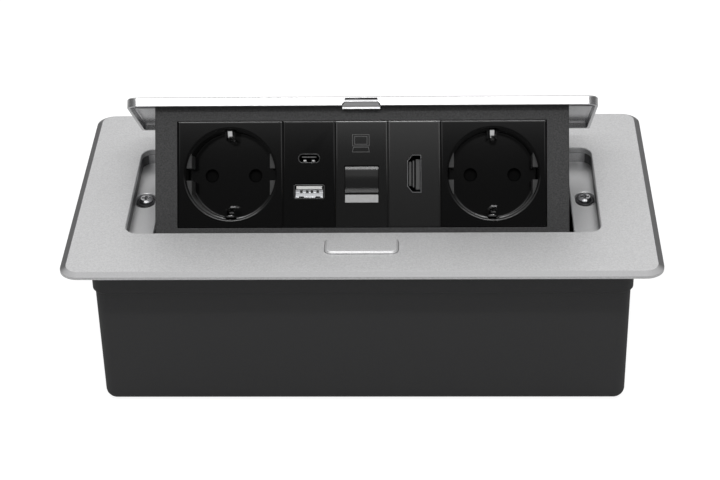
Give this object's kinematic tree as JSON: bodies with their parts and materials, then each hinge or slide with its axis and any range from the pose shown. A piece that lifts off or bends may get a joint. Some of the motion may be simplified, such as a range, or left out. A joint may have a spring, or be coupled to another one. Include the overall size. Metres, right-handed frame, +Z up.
{
  "type": "pop-up table socket unit",
  "caption": "Recessed table-top power unit: a lidded module swings up from a framed box to show two earthed sockets, charging ports, a data jack and a video port.",
  "frame": {"origin": "middle of the underside of the box", "axes": "+Z up, -Y the front with the button, +X to the right when facing the sockets"},
  "size_m": [0.25, 0.136, 0.1197],
  "materials": {
    "anodised_aluminium": "fine matt silver",
    "tray_silver": "matt silver paint",
    "box_plastic": "fine-grained moulded black",
    "frame_plastic": "matt charcoal",
    "insert_plastic": "glossy black",
    "hdmi_plastic": "satin black",
    "inner_plastic": "moulded black",
    "zinc_steel": "zinc-plated",
    "bright_steel": "nickel-plated",
    "spring_steel": "drawn wire",
    "brass": "stamped brass",
    "black_rubber": "soft black rubber",
    "tongue_white": "white moulding",
    "label_grey": "light grey printed strip",
    "circuit_board": "green solder mask",
    "component_case": "dark component cases"
  },
  "bodies": {
    "housing": {"flange_plate": "anodised_aluminium", "recess_tray": "tray_silver", "housing_box": "box_plastic", "tray_screws": "zinc_steel", "flange_screws": "zinc_steel", "mains_grommet": "black_rubber", "data_grommet": "black_rubber", "cord_clamp": "inner_plastic", "clamp_screws": "zinc_steel", "pivot_bracket_left": "zinc_steel", "pivot_bracket_right": "zinc_steel", "pivot_pins": "bright_steel", "pin_clips": "zinc_steel", "pivot_bushes": "inner_plastic", "open_stops": "black_rubber", "torsion_springs": "spring_steel", "damper_body": "inner_plastic", "damper_screws": "zinc_steel", "latch_guide": "inner_plastic", "button_springs": "spring_steel"},
    "popup_module": {"lid": "anodised_aluminium", "latch_strike": "zinc_steel", "lid_screws": "zinc_steel", "face_frame": "frame_plastic", "module_shell": "inner_plastic", "end_arm_left": "zinc_steel", "end_arm_right": "zinc_steel", "arm_screws": "zinc_steel", "socket_insert_left": "insert_plastic", "socket_insert_right": "insert_plastic", "earth_clips": "bright_steel", "socket_base_left": "inner_plastic", "socket_base_right": "inner_plastic", "contact_tubes": "brass", "live_busbar": "brass", "neutral_busbar": "brass", "earth_busbar": "brass", "usb_face": "insert_plastic", "usb_c_shell": "bright_steel", "usb_c_tongue": "hdmi_plastic", "usb_a_shell": "bright_steel", "usb_a_tongue": "tongue_white", "charger_board": "circuit_board", "charger_parts": "component_case", "data_face": "insert_plastic", "data_label": "label_grey", "rj45_jack": "insert_plastic", "rj45_contacts": "brass", "hdmi_face": "hdmi_plastic", "hdmi_shell": "bright_steel", "hdmi_tongue": "hdmi_plastic", "hdmi_body": "hdmi_plastic"},
    "push_button": {"push_button": "anodised_aluminium"},
    "latch_slider": {"latch_slider": "zinc_steel"},
    "damper_pinion": {"damper_pinion": "inner_plastic"},
    "socket_shutter_left": {"socket_shutter_left": "inner_plastic"},
    "socket_shutter_right": {"socket_shutter_right": "inner_plastic"},
    "rj45_shutter": {"rj45_shutter": "insert_plastic"}
  },
  "joints": [
    {"name": "module_swing", "type": "hinge", "parent": "housing", "child": "popup_module", "pos_m": [0, 0.0444, 0.0495], "axis": [1, 0, 0], "range_deg": [0, 41], "stiffness_Nm_per_rad": 0.5, "springref_deg": -74.48, "deforming": ["torsion_springs"]},
    {"name": "damper_spin", "type": "hinge", "parent": "housing", "child": "damper_pinion", "pos_m": [0, 0.0348, 0.03287], "axis": [1, 0, 0], "range_deg": [-123, 0]},
    {"name": "button_press", "type": "slide", "parent": "housing", "child": "push_button", "axis": [0, 0, -1], "range_m": [0, 0.002], "stiffness_N_per_m": 300, "springref_m": -0.003, "deforming": ["button_springs"]},
    {"name": "latch_slide", "type": "slide", "parent": "housing", "child": "latch_slider", "axis": [0, -1, 0], "range_m": [0, 0.002]},
    {"name": "shutter_left_turn", "type": "hinge", "parent": "popup_module", "child": "socket_shutter_left", "pos_m": [-0.05625, -0.01464, 0.09006], "axis": [0, -0.8387, 0.5446], "range_deg": [0, 40], "stiffness_Nm_per_rad": 0.004, "springref_deg": -17.19},
    {"name": "shutter_right_turn", "type": "hinge", "parent": "popup_module", "child": "socket_shutter_right", "pos_m": [0.05625, -0.01464, 0.09006], "axis": [0, -0.8387, 0.5446], "range_deg": [0, 40], "stiffness_Nm_per_rad": 0.004, "springref_deg": -17.19},
    {"name": "rj45_shutter_lift", "type": "slide", "parent": "popup_module", "child": "rj45_shutter", "axis": [0, 0.5446, 0.8387], "range_m": [0, 0.0095], "stiffness_N_per_m": 15, "springref_m": -0.01}
  ],
  "couplings": [
    {"joint": "damper_spin", "follows": "module_swing", "ratio": -3},
    {"joint": "latch_slide", "follows": "button_press", "ratio": 1}
  ]
}
